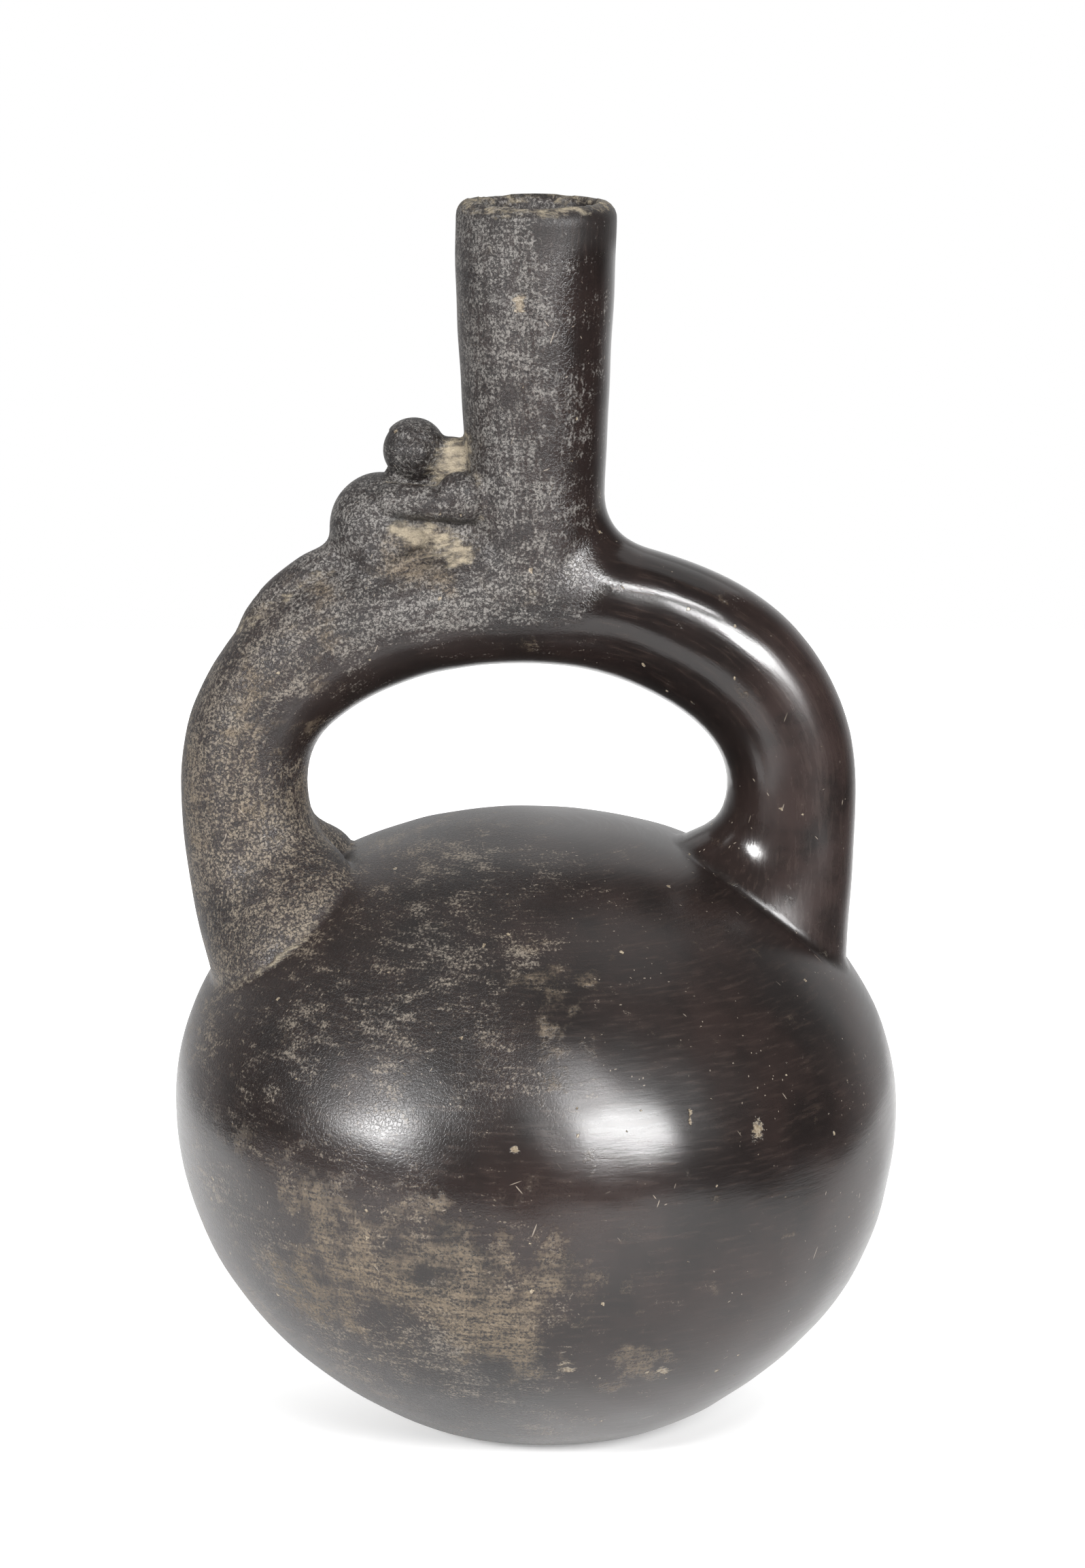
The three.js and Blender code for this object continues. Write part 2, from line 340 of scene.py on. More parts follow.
# %% Lumps and rolls of clay
def lump(x, y, z, at, size, tilt=0):
    """Distance to an egg of clay, k (k - 1) / g as for the chamber, turned by `tilt` degrees about Y."""
    cos, sin = math.cos(math.radians(tilt)), math.sin(math.radians(tilt))
    dx, dy, dz = x - at[0], y - at[1], z - at[2]
    u = (cos * dx - sin * dz) / size[0]
    v = dy / size[1]
    w = (sin * dx + cos * dz) / size[2]
    k = np.sqrt(u**2 + v**2 + w**2)
    slope = np.sqrt((u / size[0]) ** 2 + (v / size[1]) ** 2 + (w / size[2]) ** 2) + 1e-9
    return k * (k - 1) / slope


def roll(x, y, z, start, end, radius):
    """Distance to a roll of clay with round ends: from the nearest point of its middle line, less its
    radius, which eases from the first of two values at the start to the second at the end."""
    start, end = np.array(start, float), np.array(end, float)
    along = end - start
    share = (x - start[0]) * along[0] + (y - start[1]) * along[1] + (z - start[2]) * along[2]
    share = np.clip(share / along.dot(along), 0, 1)
    gaps = [axis - (start[i] + share * along[i]) for i, axis in enumerate((x, y, z))]
    return np.sqrt(sum(gap**2 for gap in gaps)) - (radius[0] + (radius[1] - radius[0]) * share)


# %% The figure
TAIL_SPAN = (math.radians(118), math.radians(150))
TAIL_RADIUS = 5.2
TAIL_STAND = 10.6
TAIL_SINK = 4.2
HEAD = (-21.5, 0, 175.5)
HEAD_RADIUS = 5.5
BROW = {"rise": 2.6, "stand": 0.28}


def tail(y, place, gap, side):
    """Distance to a ridge outside the arch's centre line, by the angle along the arch. It stands
    `TAIL_STAND` off the line where it leaves the back, and sinks into the tube at its end."""
    angle = np.interp(place, np.arange(len(curve_angle)), curve_angle)
    share = (angle - TAIL_SPAN[0]) / (TAIL_SPAN[1] - TAIL_SPAN[0])
    taper = 1 - 0.8 * np.abs(2 * np.clip(share, 0, 1) - 1) ** 5
    beyond = np.maximum(np.abs(share - 0.5) - 0.5, 0) * 32
    stand = TAIL_STAND - TAIL_SINK * np.clip(share, 0, 1) ** 2
    return np.sqrt((side - stand) ** 2 + y**2 + beyond**2) - TAIL_RADIUS * taper


def monkey_head(x, y, z):
    """A ball with a cap of clay for the brow, two low round ears and a muzzle laid on the spout."""
    flank = np.abs(y)
    ball = lump(x, y, z, HEAD, (HEAD_RADIUS,) * 3)
    cap = lump(x, y, z, HEAD, (HEAD_RADIUS + BROW["stand"],) * 3)
    under_cap = HEAD[2] + BROW["rise"] - 0.12 * (x - HEAD[0]) - z
    head = soft_min(ball, soft_max(cap, under_cap, 0.5), 0.3)
    head = soft_min(head, lump(x, flank, z, (-20.9, 4.7, 175.6), (2.1, 1.5, 2.3)), 0.8)
    return soft_min(head, lump(x, y, z, (-15, 0, 173), (5, 3.4, 4.9)), 1.2)


def monkey(x, y, z):
    """The lumps and rolls of the figure, luted to each other."""
    flank = np.abs(y)
    body = lump(x, y, z, (-27.2, 0, 161.9), (9, 9, 9.6))
    body = soft_min(body, lump(x, y, z, (-17.5, 0, 162), (9.5, 6.9, 8)), 2)
    figure = soft_min(body, monkey_head(x, y, z), 1.6)
    shoulder = roll(x, flank, z, (-25, 6.3, 167.4), (-16.5, 7.6, 167), (3.2, 3.1))
    hand = lump(x, flank, z, (-13.2, 7.6, 168), (4.2, 3.2, 4.6), -20)
    shin = roll(x, flank, z, (-28, 6.6, 157.6), (-21, 7.4, 160.6), (2.6, 1.6))
    figure = soft_min(figure, soft_min(shoulder, hand, 0.8), 0.8)
    return soft_min(figure, shin, 1.2)


# %% [markdown]
# ## One body
#
# Everything is luted together here, and the hollow is cut out of it. A hand-built pot is never a true
# ellipsoid, so slow waves in a few dozen directions dent and swell the outside by a few tenths of a
# millimetre, and shorter, flatter waves leave the facets of the burnishing stone.

# %% Unevenness of a hand-built wall
def wave_set(seed, count, lengths, flatten):
    """Directions, phases and shares of plane waves with random lengths between two limits. `flatten`
    above 1 turns the waves towards Z, so that their ridges lie along the burnishing strokes."""
    random = np.random.default_rng(seed)
    direction = random.normal(size=(count, 3)) * (1, 1, flatten)
    direction /= np.linalg.norm(direction, axis=1)[:, None]
    length = random.uniform(*lengths, count)
    return direction * (2 * math.pi / length)[:, None], random.uniform(0, 2 * math.pi, count)


def waves(x, y, z, ripples):
    """The mean of a set's sines, scaled so that a typical value is about one."""
    vectors, phases = ripples
    total = 0
    for (a, b, c), phase in zip(vectors, phases):
        total = total + np.sin(a * x + b * y + c * z + phase)
    return total * math.sqrt(2 / len(phases))


DENTS = wave_set(11, 10, (28, 70), 1.0)
FACETS = wave_set(12, 16, (7, 16), 2.5)
DENT_DEPTH = 0.16
FACET_DEPTH = 0.035


# %% The clay and the hollow
FOOT_JOIN = 1.3
TAIL_JOIN = 1.0


def handle(x, y, arch, off_dome):
    """Distance to the arched handle with the monkey's tail laid on it."""
    return soft_min(tube(x, y, *arch, off_dome), tail(y, *arch), TAIL_JOIN)


def clay(x, y, z, arch, uneven=True):
    """Distance to the outside of the vessel. The monkey's join is narrow at the spout, where its limbs
    stand out, and wide at its back, where it runs into the handle."""
    off_dome = chamber(x, y, z)
    _, turn = spout_axis(x, y, z)
    web = WEB["front"] + (WEB["side"] - WEB["front"]) * np.cos(turn) ** 2
    upper = soft_min(handle(x, y, arch, off_dome), spout(x, y, z), web)
    upper = soft_min(upper, monkey(x, y, z), 1.4 + 2.6 * smoothstep(-18, -30, x))
    whole = soft_min(off_dome, upper, FOOT_JOIN)
    if uneven:
        fade = smoothstep(0, 8, z)
        whole = whole - fade * DENT_DEPTH * waves(x, y, z, DENTS)
        whole = whole - fade * FACET_DEPTH * waves(x, y, z, FACETS)
    return whole


def hollow(x, y, z, arch):
    """Distance to the inside: the chamber drawn in by its wall, the channel and the bore."""
    _, gap, _ = arch
    channel = np.sqrt(gap**2 + y**2) - CHANNEL_RADIUS
    inside = soft_min(chamber(x, y, z) + CHAMBER_WALL, channel, 2)
    return soft_min(inside, bore(x, y, z), 2)


def vessel(x, y, z, uneven=True):
    """Distance to the fired clay, which is what lies in the outside and not in the hollow."""
    arch = nearest_on_arch(x, z)
    return soft_max(clay(x, y, z, arch, uneven), -hollow(x, y, z, arch), 1.0)


# %% [markdown]
# ## From distances to a mesh
#
# A cage could be modelled by hand and subdivided, but its faces would have to be planned wherever two parts
# branch. Instead the distances are sampled on a grid, and the level set at zero becomes a closed mesh of
# even quads, whatever the shape. Where the forms are small, around the monkey, the lip and the joins, the
# edges are halved once or twice. Every vertex is then pulled onto the true surface by Newton's step, the
# distance divided by its slope, and eased along the surface so the faces stay even.

# %% Level set
VOXEL = 1.9


def level_set():
    """Closed quads about the zero level of the vessel's distance, in millimetres."""
    start = low - 3 * VOXEL
    counts = np.ceil((high + 3 * VOXEL - start) / VOXEL).astype(int) + 1
    x, y, z = (start[i] + VOXEL * np.arange(counts[i]) for i in range(3))
    x, y, z = x[:, None, None], y[None, :, None], z[None, None, :]
    field = vessel(x, y, z, uneven=False).astype(np.float32)
    grid = openvdb.FloatGrid(background=float(3 * VOXEL))
    grid.copyFromArray(np.ascontiguousarray(field))
    points, quads = grid.convertToQuads(isovalue=0.0)
    return points.astype(float) * VOXEL + start, quads.astype(np.int64)


points, quads = level_set()
print(f"level set: {len(points)} points, {len(quads)} quads")


# %% Finer faces where the forms are small
SMALL_EDGE = 1.1
FIGURE_EDGE = 0.55


def fineness(x, y, z):
    """The longest edge wanted at a point, in millimetres: short near the feet, the lip, the spout's web and
    the figure, and shortest on the figure itself. Inside the vessel no edge needs to be short."""
    arch = nearest_on_arch(x, z)
    off_dome = chamber(x, y, z)
    off_tube = tube(x, y, *arch, off_dome)
    foot = (np.abs(off_dome) < 3.5) & (np.abs(off_tube) < 3.5)
    lip = z > 213
    web = (np.abs(z - 158) < 9) & (np.abs(x) < 22)
    figure = (x > -56) & (x < -9) & (z > 150) & (z < 190)
    outside = -hollow(x, y, z, arch) < -1.5
    size = np.where(outside & (foot | lip | web | figure), SMALL_EDGE, 4 * VOXEL)
    near_figure = monkey(x, y, z) < 1
    return np.where(near_figure & outside, FIGURE_EDGE, size)


def refine(points, faces, rounds=2):
    """Halves each edge that is longer than wanted at its middle, with Blender's subdivide."""
    holder = bpy.data.meshes.new("holder")
    holder.from_pydata(points, [], faces)
    mesh = bmesh.new()
    mesh.from_mesh(holder)
    bpy.data.meshes.remove(holder)
    for _ in range(rounds):
        ends = np.array([[v.co[:] for v in edge.verts] for edge in mesh.edges])
        wanted = fineness(*ends.mean(1).T)
        long = np.linalg.norm(ends[:, 1] - ends[:, 0], axis=1) > wanted
        chosen = [edge for edge, split in zip(mesh.edges, long) if split]
        bmesh.ops.subdivide_edges(mesh, edges=chosen, cuts=1, use_grid_fill=True)
    bmesh.ops.triangulate(mesh, faces=[face for face in mesh.faces if len(face.verts) > 4])
    return mesh


fine = refine(points.tolist(), quads.tolist())
print(f"refined: {len(fine.verts)} points, {len(fine.faces)} faces")


# %% Pull the points onto the surface
def distance_and_slope(p, step=0.15):
    """The vessel's distance at each point, and its slope by differences either way along X, Y and Z."""
    slope = np.empty_like(p)
    for axis in range(3):
        ahead, behind = p.copy(), p.copy()
        ahead[:, axis] += step
        behind[:, axis] -= step
        slope[:, axis] = (vessel(*ahead.T) - vessel(*behind.T)) / (2 * step)
    return vessel(*p.T), slope


def settle(p, edges, rounds=3):
    """Newton's step towards the zero level, after easing each point halfway to the mean of its
    neighbours along the surface only."""
    for turn in range(rounds):
        distance, slope = distance_and_slope(p)
        square = (slope**2).sum(1) + 1e-9
        if turn < rounds - 1:
            total = np.zeros_like(p)
            for a, b in ((0, 1), (1, 0)):
                for axis in range(3):
                    total[:, axis] += np.bincount(edges[:, a], p[edges[:, b], axis], len(p))
            pull = total / np.bincount(edges.ravel(), minlength=len(p))[:, None] - p
            pull -= slope * ((pull * slope).sum(1) / square)[:, None]
            p = p + 0.5 * pull
        move = np.clip(distance / np.sqrt(square), -0.8, 0.8)
        p = p - slope * (move / np.sqrt(square))[:, None]
    return p


body = bpy.data.meshes.new("vessel_body")
fine.to_mesh(body)
fine.free()
place = np.empty(len(body.vertices) * 3)
body.vertices.foreach_get("co", place)
pairs = np.empty(len(body.edges) * 2, int)
body.edges.foreach_get("vertices", pairs)
place = settle(place.reshape(-1, 3), pairs.reshape(-1, 2))
final_distance, final_slope = distance_and_slope(place, 0.25)
normals = final_slope / np.linalg.norm(final_slope, axis=1)[:, None]
body.vertices.foreach_set("co", (place * MM).ravel())
body.update()
body.polygons.foreach_set("use_smooth", np.ones(len(body.polygons), bool))
body.normals_split_custom_set_from_vertices(normals)
print(f"largest distance off the surface {np.abs(final_distance).max():.3f} mm")


# %% [markdown]
# ## Where each finish goes
#
# A finish that follows the maker's hand needs to know where it is. It could be painted on an unwrapped
# skin, but a vessel that branches unwraps badly, so places are worked out from the same distances as the
# shape. The stroke coordinates are written for every face corner: round the chamber along its level
# circles, along the arch, and up the spout. They are shortened along the stroke, so that a noise read from
# them comes out as streaks.

# %% Parts and strokes
STRETCH = 0.14


def part_distances(p):
    """The four outer parts' distances at each point: chamber, handle, spout and figure."""
    x, y, z = p.T
    arch = nearest_on_arch(x, z)
    off_dome = chamber(x, y, z)
    return np.stack([off_dome, handle(x, y, arch, off_dome), spout(x, y, z), monkey(x, y, z)]), arch


def stroke_places(p, arch):
    """Each point in each part's own stroke coordinates, in millimetres. The chamber's third coordinate
    is its latitude as an arc, the arch's first two are the place across the tube."""
    x, y, z = p.T
    up = above_girth(y, z)
    latitude = np.arctan2(up, np.hypot(x + LEAN * up, y)) * GIRTH_RADIUS
    round_chamber = np.stack([x * STRETCH, y * STRETCH, latitude], 1)
    along_arch = np.stack([arch[2], y, arch[0] * STRETCH], 1)
    up_spout = np.stack([x, y, z * STRETCH], 1)
    return np.stack([round_chamber, along_arch, up_spout, p])


def set_attribute(name, values, kind="FLOAT", domain="POINT"):
    """Writes an array into a named attribute of the vessel's mesh."""
    made = body.attributes.new(name, kind, domain)
    made.data.foreach_set("value" if kind == "FLOAT" else "vector", values.astype(np.float32).ravel())


parts, place_on_arch = part_distances(place)
strokes = stroke_places(place, place_on_arch)
corner_point = np.empty(len(body.loops), int)
body.loops.foreach_get("vertex_index", corner_point)
corners = np.empty(len(body.polygons), int)
body.polygons.foreach_get("loop_total", corners)
first_corner = np.cumsum(corners) - corners
face_part = np.add.reduceat(parts[:, corner_point], first_corner, axis=1).argmin(0)
set_attribute("stroke", strokes[np.repeat(face_part, corners), corner_point], "FLOAT_VECTOR", "CORNER")
print("faces by part:", np.bincount(face_part, minlength=4))


# %% [markdown]
# Weights, mostly from nothing to one, say where each finish lies. The monkey's side is worn, by hands that
# held the vessel there, and the crown and the lip are dull. The outer side of the right leg is ruddy, where
# the smoke was thin. Soil is caked on the belly and about the monkey. Pale clay lies bare in the seams, at
# the lip, inside the vessel and above and below the monkey's arms. Painted shade darkens the undercuts
# between them and a band along the right foot's seam, as if shadow lay there. Each weight is made of ramps
# between two places in millimetres and of patches, which are bells about a middle point, each with its size
# in millimetres and its strength.

# %% Patches
CAKED = [
    ((-40, -46, 36), 12, 1.0), ((-28, -56, 40), 8, 0.7), ((-10, -59, 34), 12, 0.8),
    ((4, -63, 44), 12, 0.55), ((-20, -60, 50), 12, 0.6), ((-38, -51, 54), 9, 0.7),
    ((16, -52, 23), 7, 1.0), ((-6, -57, 28), 9, 0.7), ((-1, -50, 88), 16, 0.45),
    ((-51, -36, 62), 9, 0.5), ((-50, -10, 125), 16, 0.6), ((-50, -10, 108), 10, 0.4),
    ((-21, -8, 156), 7, 1.3), ((-38, -8, 146), 9, 0.7), ((-20, 9, 153), 8, 0.7), ((-3, -11, 144), 6, 0.6),
]
BARE = [
    ((-13.5, 3.5, 177), 3.4), ((-15, 4, 172.6), 4.0), ((-17.5, 5.5, 169.6), 2.6), ((-21.5, 5.5, 169.4), 2.1),
    ((-24.5, 5, 170.4), 1.9), ((-24.5, 7.6, 162.6), 2.0), ((-21, 8.2, 161.6), 2.9), ((-17, 8.4, 160.2), 3.3),
    ((-13, 8.8, 158.6), 3.3),
]
# Painted shade: dark spots in the undercuts under the monkey's arms and in the gap below them, where shadow
# falls.
PAINTED_SHADE_SPOTS = [
    ((-24, 8, 164.6), 1.6), ((-20, 8.2, 164.4), 1.7), ((-16, 8.6, 164), 1.7), ((-12.5, 9, 163.6), 1.7),
    ((-23, 7.5, 159.2), 1.4), ((-19, 8.5, 157.6), 1.6),
]


def patches(p, places):
    """The sum of bells about given places, each with its size and its strength."""
    return sum(bell(np.linalg.norm(p - middle, axis=1), size) * share for middle, size, share in places)


# %% Worn, dull and ruddy places
SPOUT_BLEND_Z = (150, 172)
LIP_Z = (209, 214)

chamber_gap, handle_gap, spout_gap, figure_gap = parts
x, y, z = place.T
foot_gap = np.abs(chamber_gap) + np.abs(handle_gap)
up_high = smoothstep(0.2, 2, chamber_gap - np.minimum(handle_gap, 0))
inner_side = smoothstep(4, -7, place_on_arch[2]) * smoothstep(112, 130, z) * smoothstep(150, 144, z)
worn_chamber = 0.62 * (1 - smoothstep(-16, 36, x)) * (1 - 0.3 * bell(z - 60, 16))
worn_handle = 1 - smoothstep(-2, 22, x)
worn_spout = 0.97 - 0.8 * smoothstep(-12, 22, x)
worn_above = worn_handle + (worn_spout - worn_handle) * smoothstep(*SPOUT_BLEND_Z, z)
worn = worn_chamber + (worn_above - worn_chamber) * up_high
worn = worn * (1 - 0.64 * inner_side * up_high)
dull = np.where(up_high > 0.5, 0.5 * smoothstep(10, -4, x), 0.45 + 0.55 * smoothstep(58, 76, z))
dull = np.maximum(dull, 1.9 * smoothstep(*LIP_Z, z))
dull = np.maximum(dull, 0.8 * bell(foot_gap, 1.2))
ruddy = smoothstep(36, 46, x) * up_high

# %% Seams, smears and painted shade
caked = patches(place, CAKED)
foot_seam = (0.35 + 0.2 * smoothstep(5, -5, x)) * bell(foot_gap, 1.2)
figure_seam = 0.7 * bell(np.minimum(np.abs(handle_gap), np.abs(spout_gap)) + np.abs(figure_gap), 1.6)
tail_gap = tail(y, *place_on_arch)
tube_gap = tube(x, y, *place_on_arch, chamber_gap)
tail_seam = 0.6 * bell(np.abs(tail_gap) + np.abs(tube_gap), 1.7) * smoothstep(-30, -35, x)
inside = 0.5 * (1 - smoothstep(-0.6, 0.8, hollow(x, y, z, place_on_arch)))
lip = 0.6 * smoothstep(216, 219, z)
both_flanks = np.stack([x, np.abs(y), z], 1)
smeared = patches(both_flanks, [(middle, size, 0.85) for middle, size in BARE])
bare = np.clip(np.maximum.reduce([foot_seam, figure_seam, tail_seam, inside, lip, smeared]), 0, 1)
# Painted shade: the spots under the arms, and a band along the right foot's seam, darken the clay as if in
# shadow.
painted_shade = patches(both_flanks, [(middle, size, 1.0) for middle, size in PAINTED_SHADE_SPOTS])
painted_shade = np.minimum(painted_shade + 0.7 * bell(foot_gap, 1.3) * smoothstep(10, 25, x), 1)
weights = {"worn": worn, "caked": caked, "bare": bare, "dull": dull, "ruddy": ruddy, "painted_shade": painted_shade}
for name, weight in weights.items():
    set_attribute(name, weight)
    print(f"{name}: mean {weight.mean():.3f}, most {weight.max():.2f}")


# %% [markdown]
# ## The piece
#
# The mesh becomes one object at the origin. It rides on the model's single body, and stands for the
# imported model's plain solid, which is hidden.

# %% The vessel's object
vessel_body = bpy.data.objects.new("vessel_body", body)
bpy.context.scene.collection.objects.link(vessel_body)
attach(vessel_body, "root")
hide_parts("vessel")
print(f"vessel_body: {sum(corners - 2)} triangles")


# %% [markdown]
# ## Shader maths
#
# A material is a tree of nodes, and a formula soon needs dozens of Math nodes. A small class wraps an
# output socket so that formulas are written as formulas: each operator adds its Math node and links it.

# %% Wires
class Wire:
    """An output socket of the material in the making. Operators on wires and numbers add Math nodes."""

    tree = None

    def __init__(self, socket):
        self.socket = socket

    @classmethod
    def node(cls, kind, settings=None, values=None, output=0):
        """Adds a node of a type, sets its settings, then sets or links its inputs by name or number, and
        returns one of its outputs."""
        made = cls.tree.nodes.new(kind)
        for name, value in (settings or {}).items():
            setattr(made, name, value)
        for name, value in (values or {}).items():
            if isinstance(value, Wire):
                cls.tree.links.new(value.socket, made.inputs[name])
            else:
                made.inputs[name].default_value = value
        return cls(made.outputs[output])

    def math(self, operation, a, b):
        return Wire.node("ShaderNodeMath", {"operation": operation}, {0: a, 1: b})

    def __add__(self, other):
        return self.math("ADD", self, other)

    def __sub__(self, other):
        return self.math("SUBTRACT", self, other)

    def __rsub__(self, other):
        return self.math("SUBTRACT", other, self)

    def __mul__(self, other):
        return self.math("MULTIPLY", self, other)

    __radd__ = __add__
    __rmul__ = __mul__

    def most(self, other):
        """The larger of two."""
        return self.math("MAXIMUM", self, other)

    def ease(self, low, high):
        """Zero below `low`, one above `high`, and a smooth step between. The two may be in either order."""
        settings = {"interpolation_type": "SMOOTHSTEP", "clamp": True}
        return Wire.node("ShaderNodeMapRange", settings, {0: self, 1: low, 2: high})


# %% Colours, noises and attributes
def srgb(red, green, blue):
    """A screen colour of 0 to 255 as the linear light that a shader works in."""
    share = np.array([red, green, blue]) / 255
    linear = np.where(share < 0.04045, share / 12.92, ((share + 0.055) / 1.055) ** 2.4)
    return (*linear.tolist(), 1.0)


def mix(factor, a, b):
    """Colour a, going over to colour b as the factor goes to one."""
    return Wire.node("ShaderNodeMix", {"data_type": "RGBA"}, {0: factor, 6: a, 7: b}, 2)


def noise(where, size, detail=2.0, roughness=0.5):
    """Fractal noise about 0.5, with lumps of about `size` millimetres."""
    values = {"Vector": where, "Scale": 1 / size, "Detail": detail, "Roughness": roughness}
    return Wire.node("ShaderNodeTexNoise", None, values)


def cells(where, size):
    """Scattered points, about `size` millimetres apart: the distance to the nearest."""
    return Wire.node("ShaderNodeTexVoronoi", None, {"Vector": where, "Scale": 1 / size}, "Distance")


def plates(where, size):
    """Close-set plates about `size` millimetres wide: the distance to the crack round each."""
    values = {"Vector": where, "Scale": 1 / size}
    return Wire.node("ShaderNodeTexVoronoi", {"feature": "DISTANCE_TO_EDGE"}, values)


def attribute(name, output="Fac"):
    """One of the weights or places that were written to the mesh."""
    return Wire.node("ShaderNodeAttribute", {"attribute_name": name}, None, output)


def scaled(vector, scale):
    """A vector times a number or, part by part, times three."""
    factor = (scale,) * 3 if isinstance(scale, (int, float)) else scale
    return Wire.node("ShaderNodeVectorMath", {"operation": "MULTIPLY"}, {0: vector, 1: factor})


def moved(vector, step):
    """A vector with another added to it."""
    return Wire.node("ShaderNodeVectorMath", {"operation": "ADD"}, {0: vector, 1: step})


# %% [markdown]
# ## Burnished blackware
#
# The pot was rubbed with a stone while leather hard and fired in smoke, so it is black all through, with a
# warm brown cast where the smoke was thinner. Where it was never handled the burnish is a near mirror.
# Towards the monkey's side it is worn: the sheen has broken up into fine grey grains, drawn out along the
# strokes of the stone. Old soil is caked on the belly, pale clay shows at the seams and the lip, and the
# glossy side has only small chips and hairline scratches. These could be separate materials, but they run
# into each other, so each is a mask, and the colour and the roughness are built up from them in turn.

# %% Black clay and its strokes
blackware = bpy.data.materials.new("burnished_blackware")
blackware.use_nodes = True
blackware.node_tree.nodes.clear()
Wire.tree = blackware.node_tree

at = scaled(Wire.node("ShaderNodeTexCoord", None, None, "Object"), 1 / MM)
stroke = attribute("stroke", "Vector")

drift = noise(at, 34, 3)
cloud = noise(at, 11, 4, 0.6)
wear = (attribute("worn") + (cloud - 0.5) * 0.9).ease(0.0, 1.0)
streak = noise(stroke, 0.8, 4, 0.62)
fine = noise(at, 0.5, 3, 0.7)

clay_colour = mix((drift * 0.6 + cloud * 0.4).ease(0.38, 0.62), srgb(25, 21, 20), srgb(38, 30, 28))
clay_colour = mix(attribute("ruddy") * cloud.ease(0.3, 0.6), clay_colour, srgb(45, 36, 34))
clay_colour = mix(streak.ease(0.48, 0.8) * 0.4, clay_colour, srgb(60, 49, 44))

# %% [markdown]
# The worn burnish has crazed into small plates with dark cracks between them, and the grains of bare body
# between the strokes have caught a pale dust. Noise alone looks like felt, so the plates are cells, shaken
# by a noise so that their edges aren't straight, and the grains show mostly on the plates. The dust is
# neutral on the spout and browner low down, where there was more soil.

# %% Worn grains
cluster = noise(scaled(at, (0.5, 0.5, 1)), 1.8, 4, 0.65)
wobble = Wire.node("ShaderNodeTexNoise", None, {"Vector": at, "Scale": 1.4, "Detail": 3}, "Color")
shaken = moved(at, scaled(wobble, 1.2))
plate = (plates(shaken, 0.75) + (fine - 0.5) * 0.5).ease(-0.02, 0.16)
grains = fine * 0.45 + streak * 0.25 + cluster * 0.3 + (wear - 1) * 0.15 + (cloud - 0.5) * 0.16
grey_grain = grains.ease(0.46, 0.57) * (plate * 0.65 + 0.35)
upright = Wire.node("ShaderNodeSeparateXYZ", None, {"Vector": at}, "Z")
brown = (upright.ease(165, 110) * 0.75 + (drift - 0.5) * 1.6).ease(0.0, 1.0)
grain_colour = mix(brown, srgb(128, 125, 121), srgb(130, 119, 104))
clay_colour = mix(grey_grain * 0.6, clay_colour, grain_colour)
crack = (1 - plate) * wear * streak.ease(0.36, 0.5)
clay_colour = mix(crack * 0.75, clay_colour, srgb(14, 13, 13))

# %% Caked soil
cake = (noise(at, 7, 5, 0.68) + attribute("caked") * 0.3).ease(0.62, 0.86)
cake = cake * (fine * 0.6 + streak * 0.4).ease(0.4, 0.57)
clay_colour = mix(cake * 0.7, clay_colour, srgb(106, 93, 76))

# %% Bare clay
crumb = noise(scaled(at, (0.45, 0.8, 1)), 1.3, 4, 0.7)
pale = (attribute("bare") + (crumb - 0.5) * 1.6).ease(0.35, 0.95)
pale_colour = mix(crumb.ease(0.35, 0.62), srgb(108, 99, 86), srgb(152, 141, 121))
clay_colour = mix(pale * 0.85, clay_colour, pale_colour)
# Painted shade: near-black laid over the clay under the monkey's arms and along the right foot's seam.
clay_colour = mix(attribute("painted_shade") * 0.85, clay_colour, srgb(16, 15, 14))

# %% [markdown]
# A few chips are large enough to have places of their own, each an egg about a middle, given with its three
# half sizes. The rest are specks, of which only those cells are kept whose random colour is bright, and
# hairline scratches in three directions, gathered where a coarse noise is high.

# %% Chips
MARKS = [
    ((38, -50, 64.7), (1.1, 2, 1.9)), ((26.3, -55.7, 68.2), (0.4, 1, 2.0)),
    ((-3.6, -62.7, 64.2), (0.7, 1, 0.7)), ((5.5, -54.3, 23.9), (1.7, 2, 1.2)),
    ((21.9, -48.1, 21.5), (1.6, 2, 1.0)), ((31.7, -39.9, 19.2), (0.8, 1, 0.5)),
    ((-3, -13.5, 202.4), (1.2, 2, 1.8)),
]
SPECK_SPACING = 4


def mark(middle, size):
    """One chipped place: an egg about a given middle, its edge broken up by the crumbs."""
    apart = Wire.node("ShaderNodeVectorMath", {"operation": "SUBTRACT"}, {0: at, 1: middle})
    shares = scaled(apart, tuple(1 / half for half in size))
    reach = Wire.node("ShaderNodeVectorMath", {"operation": "LENGTH"}, {0: shares}, "Value")
    return (1 - reach + (crumb - 0.5) * 4).ease(0, 0.5)


chip_gap = cells(shaken, SPECK_SPACING)
chip_colour = Wire(chip_gap.socket.node.outputs["Color"])
red = Wire.node("ShaderNodeSeparateColor", None, {"Color": chip_colour}, "Red")
chip = (red * red * 0.12 - chip_gap + (fine - 0.5) * 0.06).ease(0.0, 0.03)
for middle, size in MARKS:
    chip = chip.most(mark(middle, size) * 0.8)
fresh_clay = mix(fine.ease(0.35, 0.65), srgb(112, 98, 80), srgb(160, 148, 128))
clay_colour = mix(chip * 0.75, clay_colour, fresh_clay)


# %% Scratches
def turned(vector, degrees):
    """A vector turned about Y."""
    settings = {"rotation_type": "Y_AXIS"}
    return Wire.node("ShaderNodeVectorRotate", settings, {"Vector": vector, "Angle": math.radians(degrees)})


def dashes(degrees, spacing, aspect, size):
    """Short hairlines: cells stretched along one direction, kept where they are near their points."""
    stretched = scaled(turned(at, degrees), (1 / aspect, 1, 1))
    return (size - cells(stretched, spacing)).ease(0.0, 0.02)


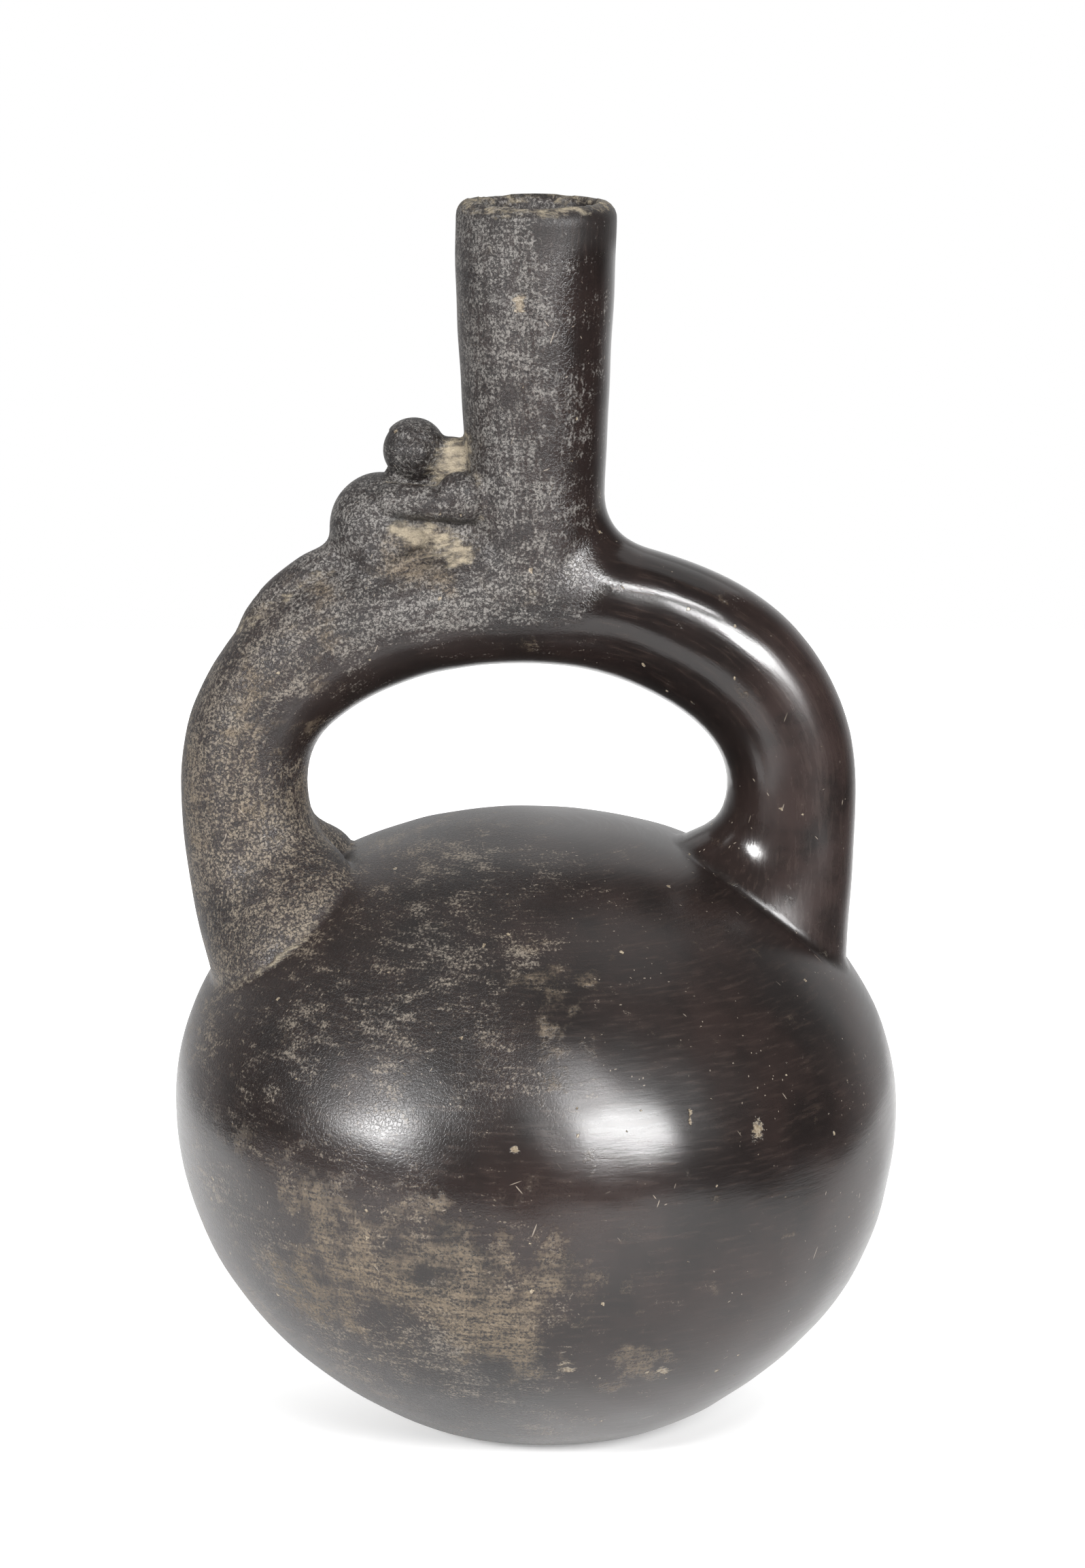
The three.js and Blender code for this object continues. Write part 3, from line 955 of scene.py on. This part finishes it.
steep, level, across = dashes(70, 1.6, 12, 0.08), dashes(20, 1.8, 14, 0.07), dashes(-50, 1.7, 16, 0.07)
scratch = steep.most(level).most(across)
scratch = scratch * noise(at, 16, 2).ease(0.45, 0.58)
clay_colour = mix(scratch * 0.6, clay_colour, srgb(140, 130, 118))

# %% [markdown]
# The gloss follows the same masks: every kind of wear adds to the roughness of the polished clay. So does
# the relief, which is the height in millimetres of the strokes, the grains, the plates, the soil and the
# crumbs of bare clay, less the depth of the chips.

# %% Gloss and relief
POLISH = 0.17

matte = attribute("worn").ease(0.35, 1.0)
roughness = POLISH + attribute("dull") * 0.14 + matte * 0.24 + attribute("ruddy") * 0.1 + grey_grain * 0.1
roughness = roughness + cake * 0.25 + pale * 0.35 + (streak - 0.5) * 0.1
height = streak * 0.02 + fine * (matte * 0.04 + wear * 0.01 + 0.006) + plate * (matte * 0.06 + wear * 0.01)
height = height + cake * 0.06 + pale * crumb * 0.3 - chip * 0.15
bump = Wire.node("ShaderNodeBump", None, {"Strength": 1.0, "Distance": MM, "Height": height})

# %% Shader
surface = {"Base Color": clay_colour, "Roughness": roughness, "Normal": bump, "IOR": 1.5}
shader = Wire.node("ShaderNodeBsdfPrincipled", None, surface)
surface_output = blackware.node_tree.nodes.new("ShaderNodeOutputMaterial")
blackware.node_tree.links.new(shader.socket, surface_output.inputs["Surface"])
body.materials.append(blackware)
print(f"burnished_blackware: {len(blackware.node_tree.nodes)} nodes")


# %% [markdown]
# ## Table and room
#
# The vessel stands on a white table, in a room that is white behind and dark in front. A boundless
# white floor would light the whole bowl from below, and polished clay mirrors what lies around it: the
# table's front edge, 28 cm before the vessel, is where the mirrored white turns to black below the girth.
# The table glows a little, most at its back left, so that no horizon shows behind it.

# %% White table
TABLE = {"left": -0.33, "right": 0.31, "front": -0.28, "back": 0.9}
TABLE_CORNERS = (("left", "front"), ("right", "front"), ("right", "back"), ("left", "back"))
DIM, WHITE = (0.36, 0.36, 0.36, 1), (1, 1, 1, 1)

table_mesh = bpy.data.meshes.new("table")
table_points = [(TABLE[side], TABLE[end], 0) for side, end in TABLE_CORNERS]
table_mesh.from_pydata(table_points, [], [(0, 1, 2, 3)])
table = bpy.data.objects.new("table", table_mesh)
bpy.context.scene.collection.objects.link(table)

white_paint = bpy.data.materials.new("white_paint")
white_paint.use_nodes = True
white_shader = white_paint.node_tree.nodes["Principled BSDF"]
white_shader.inputs["Base Color"].default_value = (0.85, 0.85, 0.85, 1)
white_shader.inputs["Emission Strength"].default_value = 0.8
white_shader.inputs["Roughness"].default_value = 0.6
Wire.tree = white_paint.node_tree
spot = {"Vector": Wire.node("ShaderNodeTexCoord", None, None, "Object")}
rightwards, backwards = (Wire.node("ShaderNodeSeparateXYZ", None, spot, axis) for axis in "XY")
glow = mix((backwards - rightwards * 0.5).ease(-0.06, 0.2), DIM, WHITE)
white_paint.node_tree.links.new(glow.socket, white_shader.inputs["Emission Color"])
table_mesh.materials.append(white_paint)
print(f"table {TABLE['right'] - TABLE['left']:.2f} m wide, its front edge at {TABLE['front']:.2f} m")

# %% The room
world = bpy.data.worlds.new("room")
world.use_nodes = True
bpy.context.scene.world = world
Wire.tree = world.node_tree
direction = Wire.node("ShaderNodeTexCoord", None, None, "Generated")
depth = Wire.node("ShaderNodeSeparateXYZ", None, {"Vector": direction}, "Y")
seen = Wire.node("ShaderNodeLightPath", None, None, "Is Camera Ray")
light = (depth.ease(0.3, 1.0) * 0.95 + 0.025).most(seen)
world.node_tree.links.new(light.socket, world.node_tree.nodes["Background"].inputs["Color"])

# %% [markdown]
# ## Softboxes
#
# Each bright spot on the polished clay is a lamp's mirror image, so a lamp's place and size say where the
# spot lies and how large it is. Small lamps would leave hard dots, so they are area lights. Two in front
# make the spots on the belly, a narrow one above them the line along the handle, and a wide, weak one
# high at the back lights the crown.

# %% Lamps
BELLY_Z = 0.08


def softbox(name, azimuth, elevation, distance, size, power):
    """An area light that faces the belly from a distance in metres. The azimuth is degrees from -Y towards
    +X, the size is width and height in metres, and the power is in watts."""
    a, e = math.radians(azimuth), math.radians(elevation)
    aim = np.array([math.sin(a) * math.cos(e), -math.cos(a) * math.cos(e), math.sin(e)])
    data = bpy.data.lights.new(name, "AREA")
    data.shape = "RECTANGLE"
    data.size, data.size_y = size
    data.energy = power
    lamp = bpy.data.objects.new(name, data)
    lamp.location = aim * distance + (0, 0, BELLY_Z)
    lamp.rotation_euler = (math.radians(90 - elevation), 0, a)
    lamp.visible_camera = False
    bpy.context.scene.collection.objects.link(lamp)


softbox("softbox_left", -49, 18, 1.2, (0.29, 0.26), 15)
softbox("softbox_right", 28, 20.5, 1.2, (0.56, 0.36), 22)
softbox("softbox_high", 19, 39, 1.3, (0.3, 0.12), 5)
softbox("softbox_above", 180, 70, 1.3, (1.6, 1.2), 5)

# %% [markdown]
# ## Camera and sizes
#
# The camera stands 1.2 m before the vessel and looks down on it by about ten degrees, so that the rim shows
# as a narrow ellipse. A long lens from there keeps the proportions nearly those of a drawing. The film look
# is left out, so that the room's white stays white.

# %% Camera
CAMERA_PLACE = (0.001154, -1.2, 0.334547)
LOOK_DOWN = 10.333
LENS = 158.08

camera = bpy.data.objects.new("camera", bpy.data.cameras.new("camera"))
camera.location = CAMERA_PLACE
camera.rotation_euler = (math.radians(90 - LOOK_DOWN), 0, 0)
camera.data.lens = LENS
bpy.context.scene.collection.objects.link(camera)
bpy.context.scene.camera = camera
bpy.context.scene.view_settings.view_transform = "Standard"
